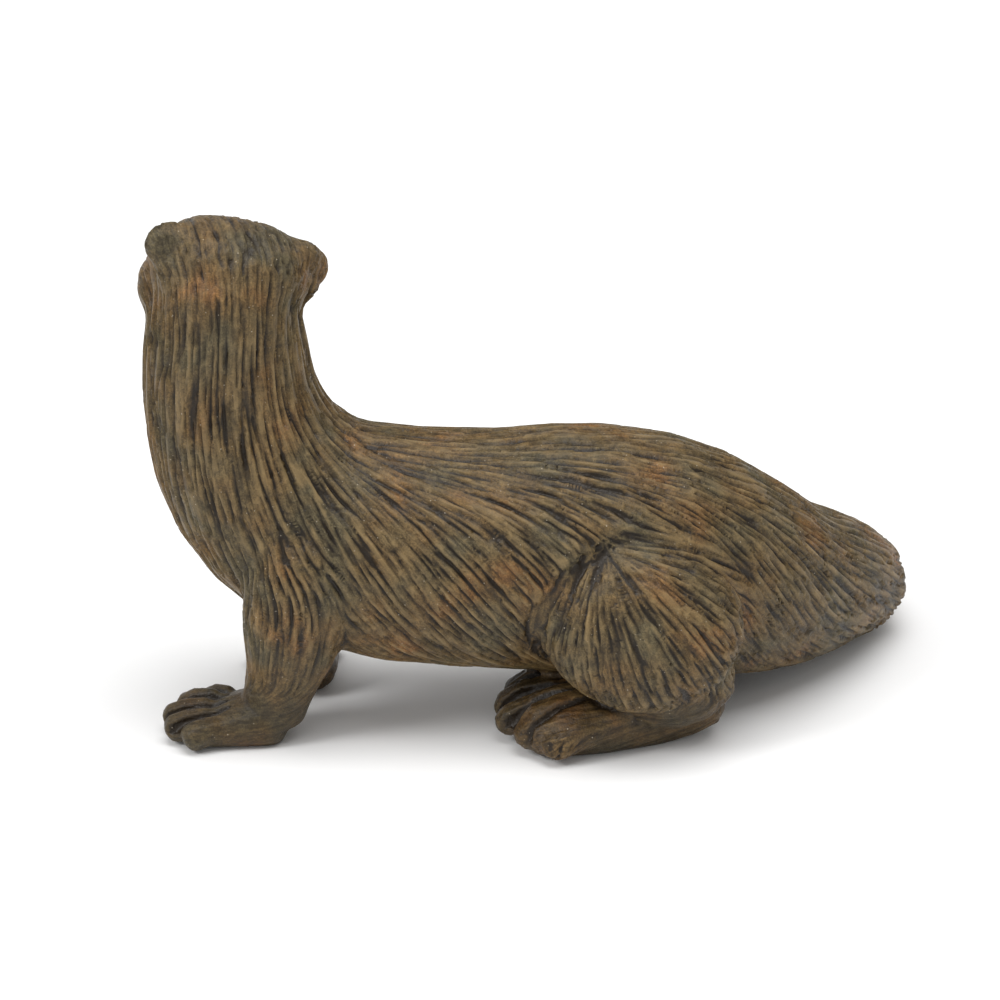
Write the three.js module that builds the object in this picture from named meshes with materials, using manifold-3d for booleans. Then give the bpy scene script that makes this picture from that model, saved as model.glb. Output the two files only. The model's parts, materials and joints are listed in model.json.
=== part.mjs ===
// A small moulded vinyl figure of a river otter. It stands on its forefeet, sits on its hind
// feet, holds its head high and looks back over its right shoulder, and its thick tail lies
// on the ground and curls round behind its right side. The figure is one casting, parted here
// with thin cuts so that the head, neck, trunk, tail, legs, ears, eyes and nose each have a
// name of their own.
//
// Millimetres, +Z up. The body points along -X, and the otter's left side faces -Y.
import * as THREE from "three";
import { mergeVertices } from "three/addons/utils/BufferGeometryUtils.js";
import Module from "manifold-3d";

const wasm = await Module();
wasm.setup();

// ---- Driving sizes -------------------------------------------------------------------------
const CUT = 0.3; // width of the cuts that part the casting
const TRUNK_RADIUS = 15; // half the depth of the body behind the shoulders
const NECK_RADIUS = 10.6;
const SPINE_HEIGHT = 23; // middle of the trunk above the ground
const HEAD_AT = [-35.8, 0.8, 58.4]; // middle of the braincase
const HEAD_TURN = { yaw: 70, nod: 5, tilt: 16 }; // degrees: to its right, nose down, to its right
const FORE_SPREAD = 6.8; // middle of each forefoot from the body's mid-plane
const FORETOE = 2; // radius
const HINDTOE = 2.25;
const TAIL_BEND = 6.8; // radius of the tail where it turns back
const FLOOR_SINK = 0.35; // how far soles and tail reach below the ground before they are cut flat

const HEAD_REACH = 30; // farther than any point of the head from its core
const RAY_STEPS = 40;
const RAY_HALVINGS = 14;

const degrees = THREE.MathUtils.degToRad;
const point = (xyz) => new THREE.Vector3(...xyz);

// ---- Shapes --------------------------------------------------------------------------------

// The middle line and the half sizes of a limb, both smooth through the same stations. A
// station is [x, y, z, half width, half depth].
function limbCurves(stations) {
  const line = stations.map((s) => point(s.slice(0, 3)));
  const sizes = stations.map((s) => new THREE.Vector3(s[3], s[4], 0));
  return {
    spine: new THREE.CatmullRomCurve3(line, false, "centripetal"),
    sizes: new THREE.CatmullRomCurve3(sizes, false, "catmullrom", 0.5),
  };
}

// Where ring number `share` (0 to 1) lies along a limb. Rings crowd towards the two ends, so
// that the ends come out round.
function ringPlace(share, crowding) {
  const turn = share * Math.PI;
  return (turn - (crowding / 2) * Math.sin(2 * turn)) / Math.PI;
}

// A limb: oval rings threaded on a curve and closed round at both ends. It is a unit sphere
// whose rings are carried out along the limb. `top` gives the way its upper side faces, and
// `grow` thickens it all round.
function limb(stations, { sides, rings, top, crowding = 0.6, endCap = 0.05, grow = 0 }) {
  const { spine, sizes } = limbCurves(stations);
  const geometry = new THREE.SphereGeometry(1, sides, rings);
  const places = geometry.getAttribute("position");
  for (let i = 0; i < places.count; i++) {
    const onSphere = new THREE.Vector3().fromBufferAttribute(places, i);
    const share = Math.acos(THREE.MathUtils.clamp(onSphere.y, -1, 1)) / Math.PI;
    const t = ringPlace(share, crowding);
    const round = Math.max(Math.hypot(onSphere.x, onSphere.z), 1e-9);
    const toEnd = Math.min(t, 1 - t) / endCap;
    const cap = toEnd < 1 ? Math.sqrt(1 - (1 - toEnd) ** 2) : 1;
    const size = sizes.getPoint(t);
    const forward = spine.getTangent(t);
    const upward = top(t);
    upward.addScaledVector(forward, -upward.dot(forward)).normalize();
    const sideways = new THREE.Vector3().crossVectors(forward, upward);
    const place = spine.getPoint(t);
    place.addScaledVector(sideways, (onSphere.x / round) * (size.x + grow) * cap);
    place.addScaledVector(upward, (onSphere.z / round) * (size.y + grow) * cap);
    places.setXYZ(i, place.x, place.y, place.z);
  }
  return { geometry, spine };
}

// A ball stretched to half sizes along X, Y and Z, turned in degrees and put in place.
function ball(at, halfSizes, { sides = 12, rings = 8, turn = [0, 0, 0], grow = 0 } = {}) {
  const geometry = new THREE.SphereGeometry(1, sides, rings);
  geometry.scale(...halfSizes.map((s) => s + grow));
  const euler = new THREE.Euler(...turn.map(degrees), "ZYX");
  geometry.applyMatrix4(new THREE.Matrix4().makeRotationFromEuler(euler));
  return geometry.translate(...at);
}

// How far a place lies outside a stretched ball (less than 0 inside it), nearly.
function outsideBall({ at, half, turn = [0, 0, 0] }, place) {
  const euler = new THREE.Euler(...turn.map(degrees), "ZYX");
  const q = place.clone().sub(point(at));
  q.applyMatrix4(new THREE.Matrix4().makeRotationFromEuler(euler).invert());
  const once = q.clone().divide(point(half));
  const twice = once.clone().divide(point(half));
  const reach = once.length();
  return (reach * (reach - 1)) / Math.max(twice.length(), 1e-9);
}

// Balls that flow into one another, as wax would. `soft` is how wide the fillets are.
function outsideBlend(balls, place, { soft, grow }) {
  const pull = balls.reduce((sum, b) => sum + Math.exp(-outsideBall(b, place) / soft), 0);
  return -soft * Math.log(pull) - grow;
}

// The outermost place on a ray where the blend's surface lies: the ray is walked inwards in
// steps, and the last step is halved again and again.
function surfaceAlong(balls, from, direction, reach, options) {
  const at = (d) => from.clone().addScaledVector(direction, d);
  let outer = reach;
  for (let i = 1; i <= RAY_STEPS; i++) {
    const d = reach * (1 - i / RAY_STEPS);
    if (outsideBlend(balls, at(d), options) < 0) {
      let inner = d;
      for (let k = 0; k < RAY_HALVINGS; k++) {
        const mid = (inner + outer) / 2;
        if (outsideBlend(balls, at(mid), options) < 0) inner = mid;
        else outer = mid;
      }
      return inner;
    }
    outer = d;
  }
  return 0;
}

// A blend of balls as one closed skin: a sphere whose rings stand across the X axis through
// `core`, and whose points are pushed out to the blend's surface.
function blended(balls, { core, sides, rings, soft, reach, grow = 0 }) {
  const geometry = new THREE.SphereGeometry(1, sides, rings);
  const places = geometry.getAttribute("position");
  const options = { soft, grow };
  const middle = point(core);
  const ahead = surfaceAlong(balls, middle, new THREE.Vector3(1, 0, 0), reach, options);
  const behind = surfaceAlong(balls, middle, new THREE.Vector3(-1, 0, 0), reach, options);
  for (let i = 0; i < places.count; i++) {
    const onSphere = new THREE.Vector3().fromBufferAttribute(places, i);
    const along = onSphere.y > 0 ? onSphere.y * ahead : onSphere.y * behind;
    const from = middle.clone().add(new THREE.Vector3(along, 0, 0));
    const outward = new THREE.Vector3(0, onSphere.x, onSphere.z);
    if (outward.length() > 1e-6) {
      outward.normalize();
      from.addScaledVector(outward, surfaceAlong(balls, from, outward, reach, options));
    }
    places.setXYZ(i, from.x, from.y, from.z);
  }
  return geometry;
}

// A three.js geometry as a manifold-3d solid. A limb's sphere can come out mirrored, and then
// its faces are turned round.
function solid(geometry) {
  const bare = geometry.index ? geometry.toNonIndexed() : geometry.clone();
  for (const name of Object.keys(bare.attributes)) {
    if (name !== "position") bare.deleteAttribute(name);
  }
  const merged = mergeVertices(bare, 1e-4);
  const corners = Array.from(merged.index.array);
  const build = (flipped) => {
    const faces = [];
    for (let i = 0; i < corners.length; i += 3) {
      const [a, b, c] = corners.slice(i, i + 3);
      if (a !== b && b !== c && c !== a) faces.push(a, ...(flipped ? [c, b] : [b, c]));
    }
    return new wasm.Manifold(
      new wasm.Mesh({
        numProp: 3,
        vertProperties: new Float32Array(merged.getAttribute("position").array),
        triVerts: new Uint32Array(faces),
      }),
    );
  };
  const made = build(false);
  return made.volume() > 0 ? made : build(true);
}

const join = (...solids) => solids.reduce((whole, next) => whole.add(next));

// A thin round slab across a limb at share t of its spine: one parting cut.
function partingCut(spine, t, radius) {
  const slab = new THREE.CylinderGeometry(radius, radius, CUT, 32);
  const turn = new THREE.Quaternion().setFromUnitVectors(
    new THREE.Vector3(0, 1, 0),
    spine.getTangent(t),
  );
  slab.applyQuaternion(turn);
  const at = spine.getPoint(t);
  return solid(slab.translate(at.x, at.y, at.z));
}

// ---- Neck, trunk and tail: one long limb -----------------------------------------------------
const R = TRUNK_RADIUS;
const N = NECK_RADIUS;
const H = SPINE_HEIGHT;
const B = TAIL_BEND;
const BODY_STATIONS = [
  [-35.8, -0.8, 64, N * 0.74, N * 0.58],
  [-36.2, -0.2, 58, N * 0.93, N * 0.84],
  [-36.3, 0.1, 50.5, N, N * 0.97],
  [-35.5, 0, 42, N * 1.06, N * 1.07],
  [-32.5, 0, 34, N * 1.2, N * 1.22],
  [-26, 0, 27.3, R * 0.91, R * 0.94],
  [-16, 0, H + 0.9, R * 0.95, R * 1.01],
  [-5, 0, H + 0.2, R * 0.98, R * 1.02],
  [6.5, 0.5, H, R, R * 1.07],
  [16.5, 2.6, 21.5, R * 1.02, R * 1.03],
  [25.5, 7.2, 17, R * 0.95, R * 0.93],
  [33.5, 13.6, 12.6, R * 0.78, R * 0.77],
  [40.4, 20.6, 9.8, R * 0.61, R * 0.61],
  [44.9, 27.4, B * 0.95, B, B],
  [42.6, 34.4, B * 0.83, B * 0.88, B * 0.88],
  [36, 38.8, B * 0.72, B * 0.77, B * 0.77],
  [28, 40.8, B * 0.6, B * 0.65, B * 0.65],
  [20, 41.2, B * 0.47, B * 0.53, B * 0.52],
  [12.5, 40.4, B * 0.35, B * 0.4, B * 0.39],
  [6.5, 38.6, B * 0.25, B * 0.24, B * 0.24],
];
const LAST = BODY_STATIONS.length - 1;
const NECK_BASE = 4.35 / LAST; // shares of the spine at which the casting is parted
const TAIL_BASE = 10.7 / LAST;
const TAIL_TURN = 13.6 / LAST;
const CHIN_LEVEL = 47.6; // height of the cut under the chin

// The upper side of the neck is the nape, which faces +X, and that of the trunk is the back.
function bodyTop(t) {
  const lean = THREE.MathUtils.smoothstep(t, 2 / LAST, 6 / LAST);
  return new THREE.Vector3(1 - lean, 0, 0.12 + lean).normalize();
}

const bodyLimb = (grow = 0) =>
  limb(BODY_STATIONS, { sides: 22, rings: 38, top: bodyTop, crowding: 0.15, endCap: 0.024, grow });

// ---- Head ------------------------------------------------------------------------------------
// Modelled facing +X with its left side at +Y, then turned and lifted onto the neck. Flat and
// broad, with full cheeks, a short blunt muzzle and low round ears.
const HEAD_BALLS = [
  { at: [-1.2, 0, 1], half: [8.3, 8.4, 7.2] }, // braincase
  { at: [-0.6, 5.2, 2.9], half: [6.6, 3.9, 4.3], pair: true }, // temples
  { at: [4.4, 5.4, -2.6], half: [6.6, 4.3, 4.8], pair: true }, // cheeks
  { at: [6.6, 0, 0.9], half: [9, 6.8, 5.6] }, // forehead and bridge
  { at: [11.8, 0, -2.2], half: [6, 5.4, 4] }, // muzzle
  { at: [14.2, 3, -3.1], half: [3.6, 3, 2.7], pair: true }, // whisker pads
  { at: [11.4, 0, -5.7], half: [4.8, 3.8, 2.1] }, // chin
  { at: [-1.6, 0, -6.4], half: [8.5, 8.5, 8] }, // throat and nape
];
const HEAD_SOFT = 0.8;
const HEAD_CORE = [3, 0, -2];
const EYE = { from: [9.6, 0, 1.2], aim: [0.45, 1, 0.3], half: [1.3, 1.3, 1.3], sink: 0.7 };
const NOSE = { from: [10, 0, -1], aim: [1, 0, 0], half: [1.5, 2.2, 1.5], sink: 0.5 };
const EAR = {
  from: [-1.6, 0, -1],
  aim: [0, 1, 0.54],
  half: [1.9, 3.6, 3.1],
  sink: 0.7,
  turn: [-6, 0, -12],
};
const EAR_BOWL = { ahead: 1.35, out: 1.3, half: [1.1, 2.2, 2] };
const BOTH_SIDES = { left: 1, right: -1 };

const mirroredBall = (b) => ({ ...b, at: [b.at[0], -b.at[1], b.at[2]] });
const headBalls = HEAD_BALLS.flatMap((b) => (b.pair ? [b, mirroredBall(b)] : [b]));

function headForm(grow = 0) {
  const shape = { core: HEAD_CORE, sides: 24, rings: 23, soft: HEAD_SOFT, reach: HEAD_REACH, grow };
  return solid(blended(headBalls, shape));
}

// A ball set into the surface of the head where a line from inside comes out, on the left side
// (1) or mirrored to the right (-1). `sink` is how deep its middle lies, `shift` moves it.
function seated({ from, aim, half, sink, turn = [0, 0, 0] }, side, { shift, ...options } = {}) {
  const start = point(from);
  const direction = point(aim).normalize();
  const surface = { soft: HEAD_SOFT, grow: 0 };
  const depth = surfaceAlong(headBalls, start, direction, HEAD_REACH, surface) - sink;
  const at = start.addScaledVector(direction, depth);
  if (shift) at.add(point(shift));
  const turned = [turn[0] * side, turn[1], turn[2] * side];
  return solid(ball([at.x, at.y * side, at.z], half, { ...options, turn: turned }));
}

// An ear: a thick round leaf with a shallow bowl in its front.
function earForm(side) {
  const { ahead, out, half } = EAR_BOWL;
  const bowl = seated({ ...EAR, half }, side, { shift: [ahead, out, out / 2] });
  return seated(EAR, side, { sides: 12, rings: 8 }).subtract(bowl);
}

// From the head's own frame to its place on the neck.
const headPlace = new THREE.Matrix4()
  .makeTranslation(...HEAD_AT)
  .multiply(new THREE.Matrix4().makeRotationZ(degrees(180 - HEAD_TURN.yaw)))
  .multiply(new THREE.Matrix4().makeRotationY(degrees(HEAD_TURN.nod)))
  .multiply(new THREE.Matrix4().makeRotationX(degrees(HEAD_TURN.tilt)));
const onNeck = (form) => form.transform(headPlace.elements);

// ---- Feet and legs ---------------------------------------------------------------------------
// Each is modelled for the left side. The right one is the same, mirrored and turned.
const towards = (x, y, z) => () => new THREE.Vector3(x, y, z);

// A toe from its root to its tip: an arched knuckle and a blunt end that rests on the ground.
// `rise` is how much higher than usual the knuckle and the end joint stand, in radii.
function toe(root, tip, radius, rise) {
  const [from, to] = [point(root), point([...tip, radius * 0.86 - FLOOR_SINK])];
  const station = (share, lift, wide, high) => {
    const p = from.clone().lerp(to, share);
    return [p.x, p.y, p.z + lift * radius, radius * wide, radius * high];
  };
  const stations = [
    station(0, 0, 0.8, 0.9),
    station(0.4, 0.3 + rise, 0.92, 0.98),
    station(0.78, 0.2 + rise, 1, 1),
    station(1, 0, 0.9, 0.86),
  ];
  return solid(limb(stations, { sides: 7, rings: 6, top: towards(0, 0, 1), endCap: 0.24 }).geometry);
}

// A foot: a flat pad and five toes, each given by its root, its tip and its rise.
function foot(padStations, toeLines, radius) {
  const pad = limb(padStations, { sides: 12, rings: 9, top: towards(0, 0, 1), endCap: 0.15 });
  const fingers = toeLines.map(([root, tip, rise = 0]) => toe(root, tip, radius, rise));
  return join(solid(pad.geometry), ...fingers);
}

const S = FORE_SPREAD;
const FORE_ANKLE = [-30.4, -S, 0];
const RIGHT_FORELEG_BACK = [2.7, 0, 0]; // the right foreleg stands this far behind the left one
const FORE_PAD = [
  [-28.7, -S, 2.5, 3.3, 3.1],
  [-31, -S, 2.9, 4.4, 3.7],
  [-35, -S + 0.1, 2.7, 5, 3.4],
  [-38.6, -S + 0.2, 1.9, 5, 2.6],
  [-41, -S + 0.3, 1.2, 3.9, 1.8],
];
const FORE_TOES = [
  [[-36.4, -9.4, 2.4], [-42.2, -11.4]],
  [[-37, -8, 2.8], [-44.7, -8.4]],
  [[-37.2, -6.4, 3.2], [-44.9, -5.4], 0.1],
  [[-36.8, -4.6, 3.5], [-43.1, -2.4], 0.2],
  [[-35.8, -3.6, 3.1], [-40, -0.8], 0.2],
];
const FORE_LEG = [
  [-25.5, -S - 1.2, 33, 3.6, 5.5],
  [-26.5, -S - 2.8, 26, 5.4, 7.3],
  [-27.8, -S - 3, 19, 5.4, 7],
  [-28.6, -S - 1.8, 13, 4.8, 6],
  [-30, -S - 0.5, 8, 4.3, 4.6],
  [-31, -S, 4, 4.2, 4.2],
  [-31.3, -S, 1.6, 3.6, 3.5],
];

const HIND_PAD = [
  [25.8, -5.4, 6.4, 2.9, 3.4],
  [22.4, -5.8, 5.3, 4, 4.6],
  [16.4, -6.8, 4.3, 4.8, 5.1],
  [9.7, -8.4, 4, 5.8, 5],
  [4, -8.7, 3.3, 6.5, 4.3],
  [0, -8.2, 2.3, 5.8, 3.3],
];
const HIND_TOES = [
  [[13.5, -10.8, 3.6], [2.9, -15.4], 0.25],
  [[8.7, -10.1, 4.2], [-0.6, -11.9], 0.15],
  [[7.2, -8.1, 5], [-2.9, -8], 0.2],
  [[6.8, -5.6, 5.6], [-2.8, -4.2], 0.45],
  [[6.6, -3.3, 5.4], [-1.6, -0.9], 0.55],
];
const HAUNCH = { at: [15, -11.4, 18], half: [13.2, 7, 11.6], turn: [-16, 14, 0] };
const SHIN = { at: [19, -9, 9], half: [8.5, 5.4, 6.4], turn: [0, -12, 0] };

function foreLeg() {
  const leg = limb(FORE_LEG, { sides: 14, rings: 12, top: towards(1, 0, 0), endCap: 0.1 });
  return solid(leg.geometry);
}

// The round haunch, and under it the shin folded down on to the heel.
function haunchForm() {
  return join(
    solid(ball(HAUNCH.at, HAUNCH.half, { sides: 16, rings: 12, turn: HAUNCH.turn })),
    solid(ball(SHIN.at, SHIN.half, { sides: 12, rings: 8, turn: SHIN.turn })),
  );
}

// The same form on the right side: mirrored, turned outwards about an upright axis through
// `pivot` on the left side, and moved.
function toRight(form, { pivot = [0, 0, 0], turnOut = 0, move = [0, 0, 0] }) {
  return form
    .translate([-pivot[0], -pivot[1], 0])
    .rotate([0, 0, turnOut])
    .translate(pivot[0], pivot[1], 0)
    .mirror([0, 1, 0])
    .translate(move);
}

// ---- The casting, parted ---------------------------------------------------------------------
const WIDE = 400; // wider than the figure
const DEEP = 40;
const ground = solid(new THREE.BoxGeometry(WIDE, WIDE, DEEP).translate(0, 0, -DEEP / 2));
const body = bodyLimb();
const bodyGrown = solid(bodyLimb(CUT).geometry);
const headSolid = onNeck(headForm());
const headGrown = onNeck(headForm(CUT));
const chinCut = solid(new THREE.BoxGeometry(40, 40, CUT).translate(HEAD_AT[0], 0, CHIN_LEVEL));

const cuts = join(
  chinCut,
  partingCut(body.spine, NECK_BASE, TRUNK_RADIUS * 1.25),
  partingCut(body.spine, TAIL_BASE, TRUNK_RADIUS * 1.1),
  partingCut(body.spine, TAIL_TURN, TAIL_BEND * 1.3),
);
const lengths = join(solid(body.geometry), headSolid).subtract(cuts).decompose();

// The piece whose middle is nearest to a named place.
function nearest(pieces, place) {
  const distance = (piece) => {
    const box = piece.boundingBox();
    const middle = point(box.min).add(point(box.max)).multiplyScalar(0.5);
    return middle.distanceTo(point(place));
  };
  return pieces.reduce((best, piece) => (distance(piece) < distance(best) ? piece : best));
}

const forms = {
  head: nearest(lengths, [-35, 5, 58]),
  neck: nearest(lengths, [-36, 0, 42]),
  trunk: nearest(lengths, [0, 0, 25]),
  tail_base: nearest(lengths, [40, 24, 8]),
  tail_tip: nearest(lengths, [25, 40, 5]),
};

const noseForm = (grow) => onNeck(seated(NOSE, 1, { sides: 12, rings: 8, grow }));
for (const [name, side] of Object.entries(BOTH_SIDES)) {
  const eye = (grow) => onNeck(seated(EYE, side, { sides: 10, rings: 8, grow }));
  forms[`eye_${name}`] = eye(0);
  forms[`ear_${name}`] = onNeck(earForm(side)).subtract(headGrown).subtract(bodyGrown);
  forms.head = forms.head.subtract(eye(CUT / 2));
}
forms.nose = noseForm(0);
forms.head = forms.head.subtract(noseForm(CUT / 2));

const forePaw = foot(FORE_PAD, FORE_TOES, FORETOE);
const hindPaw = foot(HIND_PAD, HIND_TOES, HINDTOE);
const legRoom = join(bodyGrown, headGrown);
const legs = {
  foreleg_left: join(foreLeg(), forePaw),
  foreleg_right: join(
    toRight(foreLeg(), { move: RIGHT_FORELEG_BACK }),
    toRight(forePaw, { pivot: FORE_ANKLE, turnOut: 84, move: RIGHT_FORELEG_BACK }),
  ),
  hindleg_left: join(haunchForm(), hindPaw),
  hindleg_right: join(
    toRight(haunchForm(), { move: [3, 4.5, -0.5] }),
    toRight(hindPaw, { move: [5, 6.5, 0] }),
  ),
};
for (const [name, form] of Object.entries(legs)) forms[name] = form.subtract(legRoom);

// ---- The figure ------------------------------------------------------------------------------
const PAINT = {
  coat: { color: 0x665640, roughness: 0.55 },
  eye: { color: 0x0d0b0a, roughness: 0.15 },
  nose: { color: 0x2b2420, roughness: 0.35 },
};

function paintOf(name) {
  if (name.startsWith("eye")) return PAINT.eye;
  return name === "nose" ? PAINT.nose : PAINT.coat;
}

// The largest body of a solid: a cut can leave crumbs where two curved faces graze.
function mainBody(form) {
  return form.decompose().reduce((a, b) => (b.volume() > a.volume() ? b : a));
}

function meshOf(name, form) {
  const { numProp, vertProperties, triVerts } = form.getMesh();
  const places = new Float32Array((vertProperties.length / numProp) * 3);
  for (let i = 0; i < places.length / 3; i++) {
    places.set(vertProperties.subarray(i * numProp, i * numProp + 3), i * 3);
  }
  const geometry = new THREE.BufferGeometry();
  geometry.setAttribute("position", new THREE.BufferAttribute(places, 3));
  geometry.setIndex(new THREE.BufferAttribute(new Uint32Array(triVerts), 1));
  const paint = new THREE.MeshStandardMaterial({ ...paintOf(name), metalness: 0 });
  const mesh = new THREE.Mesh(geometry, paint);
  mesh.name = name;
  return mesh;
}

const otter = new THREE.Group();
for (const [name, form] of Object.entries(forms)) {
  otter.add(meshOf(name, mainBody(form.subtract(ground))));
}

// The origin is on the ground, under the middle of the figure.
const around = new THREE.Box3().setFromObject(otter);
const middle = around.getCenter(new THREE.Vector3());
otter.position.set(-middle.x, -middle.y, 0);

export default otter;
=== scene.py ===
# %% [markdown]
# # A painted vinyl otter
#
# A small toy figure of a river otter, cast in one piece of soft vinyl, with hair cut into the
# master by hand and a brown paint finish. This lesson takes the plain solid pieces of the
# figure as a fixed frame and gives them one continuous skin, the sculpted coat, a finished
# face and the paint.
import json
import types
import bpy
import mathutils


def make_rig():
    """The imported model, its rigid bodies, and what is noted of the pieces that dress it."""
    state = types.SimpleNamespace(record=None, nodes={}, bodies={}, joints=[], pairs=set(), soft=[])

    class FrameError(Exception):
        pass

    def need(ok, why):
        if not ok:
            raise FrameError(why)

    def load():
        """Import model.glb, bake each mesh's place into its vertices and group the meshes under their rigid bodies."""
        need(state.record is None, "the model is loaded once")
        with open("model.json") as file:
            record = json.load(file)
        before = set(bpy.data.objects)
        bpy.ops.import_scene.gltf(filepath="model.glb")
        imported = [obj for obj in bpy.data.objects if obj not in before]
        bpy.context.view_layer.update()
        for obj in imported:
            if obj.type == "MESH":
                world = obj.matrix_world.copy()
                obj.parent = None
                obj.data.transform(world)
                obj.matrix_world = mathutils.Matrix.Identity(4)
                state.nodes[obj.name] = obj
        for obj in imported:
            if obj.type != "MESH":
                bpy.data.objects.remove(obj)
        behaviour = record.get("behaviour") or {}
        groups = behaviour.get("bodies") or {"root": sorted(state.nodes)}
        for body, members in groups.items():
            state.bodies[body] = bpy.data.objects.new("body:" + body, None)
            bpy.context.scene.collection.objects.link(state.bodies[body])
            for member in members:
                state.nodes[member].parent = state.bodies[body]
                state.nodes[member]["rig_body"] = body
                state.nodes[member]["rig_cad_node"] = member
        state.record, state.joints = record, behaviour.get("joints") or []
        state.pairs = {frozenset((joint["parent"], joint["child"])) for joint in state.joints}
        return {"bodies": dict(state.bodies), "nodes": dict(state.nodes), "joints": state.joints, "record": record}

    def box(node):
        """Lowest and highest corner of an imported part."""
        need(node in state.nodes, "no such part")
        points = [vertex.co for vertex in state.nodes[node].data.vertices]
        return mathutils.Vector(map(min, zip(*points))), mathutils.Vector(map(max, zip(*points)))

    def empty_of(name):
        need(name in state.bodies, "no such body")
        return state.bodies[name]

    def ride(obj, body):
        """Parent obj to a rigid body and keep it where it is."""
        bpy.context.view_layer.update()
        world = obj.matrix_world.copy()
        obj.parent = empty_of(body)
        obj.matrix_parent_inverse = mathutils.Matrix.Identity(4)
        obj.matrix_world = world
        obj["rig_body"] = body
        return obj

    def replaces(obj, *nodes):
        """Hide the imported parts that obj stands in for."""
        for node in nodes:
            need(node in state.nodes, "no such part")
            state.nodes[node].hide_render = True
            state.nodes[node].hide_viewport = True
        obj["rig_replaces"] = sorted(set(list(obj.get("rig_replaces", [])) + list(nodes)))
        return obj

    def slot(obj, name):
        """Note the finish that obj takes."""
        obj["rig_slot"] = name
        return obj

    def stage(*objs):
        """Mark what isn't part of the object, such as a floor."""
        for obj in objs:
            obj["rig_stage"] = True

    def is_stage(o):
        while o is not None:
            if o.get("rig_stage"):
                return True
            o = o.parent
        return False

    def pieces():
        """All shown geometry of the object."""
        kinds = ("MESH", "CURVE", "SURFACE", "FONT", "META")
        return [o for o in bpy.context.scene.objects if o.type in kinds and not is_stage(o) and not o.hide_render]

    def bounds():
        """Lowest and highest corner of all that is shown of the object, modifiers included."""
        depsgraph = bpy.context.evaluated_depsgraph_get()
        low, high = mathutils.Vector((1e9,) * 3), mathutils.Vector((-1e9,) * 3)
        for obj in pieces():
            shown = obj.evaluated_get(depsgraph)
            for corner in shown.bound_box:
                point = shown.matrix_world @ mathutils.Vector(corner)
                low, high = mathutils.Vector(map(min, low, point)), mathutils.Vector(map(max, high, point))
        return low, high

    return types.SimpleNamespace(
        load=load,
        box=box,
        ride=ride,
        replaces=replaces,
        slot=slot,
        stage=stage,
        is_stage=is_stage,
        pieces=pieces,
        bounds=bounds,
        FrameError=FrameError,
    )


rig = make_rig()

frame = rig.load()
cad_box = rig.bounds()

# %% Tools and units
import json
import math

import bmesh
import bpy
import numpy as np
from mathutils import Euler, Matrix, Vector
from mathutils.kdtree import KDTree

MM = 0.001  # the frame is in metres; the sculpting below is thought out in millimetres
print("frame box in mm:", [[round(c / MM, 1) for c in corner] for corner in cad_box])

# %% [markdown]
# ## Camera
#
# A product shot with a long lens from about half a metre: looking level along +Y, and tipped
# down by 23 degrees, so that the back and the top of the feet show. A long lens keeps the
# near haunch from looking bigger than the head.

# %% Camera
VIEW_DOWN = math.radians(23)
VIEW_DISTANCE = 550 * MM
VIEW_TARGET = Vector((-4.48, -13.2, 29.6)) * MM
PICTURE_WIDTH = 1000  # pixels
FOCAL_LENGTH = 4400  # pixels
SENSOR_WIDTH = 36  # mm

camera_data = bpy.data.cameras.new("camera")
camera_data.sensor_width = SENSOR_WIDTH
camera_data.lens = SENSOR_WIDTH * FOCAL_LENGTH / PICTURE_WIDTH
camera_data.clip_start = 0.05
camera = bpy.data.objects.new("camera", camera_data)
back_off = Vector((0, -math.cos(VIEW_DOWN), math.sin(VIEW_DOWN))) * VIEW_DISTANCE
camera.location = VIEW_TARGET + back_off
camera.rotation_euler = (math.pi / 2 - VIEW_DOWN, 0, 0)
bpy.context.scene.collection.objects.link(camera)
bpy.context.scene.camera = camera
print("lens in mm:", round(camera_data.lens, 1))

# %% [markdown]
# ## Floor and light
#
# The figure stands on a plain white table in a white room. One broad lamp above gives the
# soft shadow under the body, a second from the left shows the relief of the hair, and the
# room itself fills the rest.

# %% Floor and light
FLOOR_HALF = 3.0
ROOM_LIGHT = 0.62
LAMPS = {  # name: (place in m, width in m, watts)
    "overhead": ((0.1, -0.15, 0.9), 0.7, 6.0),
    "left": ((-0.8, -0.5, 0.75), 0.35, 5.0),
}


def colour(code):
    """A hex sRGB colour as the linear one that nodes work in."""
    parts = [int(code[i : i + 2], 16) / 255 for i in (1, 3, 5)]
    linear = [c / 12.92 if c <= 0.04045 else ((c + 0.055) / 1.055) ** 2.4 for c in parts]
    return (*linear, 1.0)


def finished(name, shape, material=None):
    """Makes a bmesh in millimetres into an object in metres with its origin at the floor."""
    bmesh.ops.scale(shape, vec=(MM, MM, MM), verts=shape.verts)
    data = bpy.data.meshes.new(name)
    shape.to_mesh(data)
    shape.free()
    data.shade_smooth()
    made = bpy.data.objects.new(name, data)
    bpy.context.scene.collection.objects.link(made)
    if material:
        data.materials.append(material)
    print(f"{name}: {len(data.polygons)} faces")
    return made


floor_shape = bmesh.new()
bmesh.ops.create_grid(floor_shape, x_segments=1, y_segments=1, size=FLOOR_HALF / MM)
floor_paint = bpy.data.materials.new("white_table")
floor_paint.use_nodes = True
floor_shader = floor_paint.node_tree.nodes["Principled BSDF"]
floor_shader.inputs["Base Color"].default_value = colour("#f4f4f4")
floor_shader.inputs["Roughness"].default_value = 0.9
floor_shader.inputs["Specular IOR Level"].default_value = 0.0
floor = finished("floor", floor_shape, floor_paint)
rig.stage(floor)

world = bpy.data.worlds.new("white_room")
world.use_nodes = True
sky = world.node_tree.nodes["Background"]
sky.inputs["Color"].default_value = (1, 1, 1, 1)
sky.inputs["Strength"].default_value = ROOM_LIGHT
bpy.context.scene.world = world
bpy.context.scene.view_settings.view_transform = "Standard"

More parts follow.
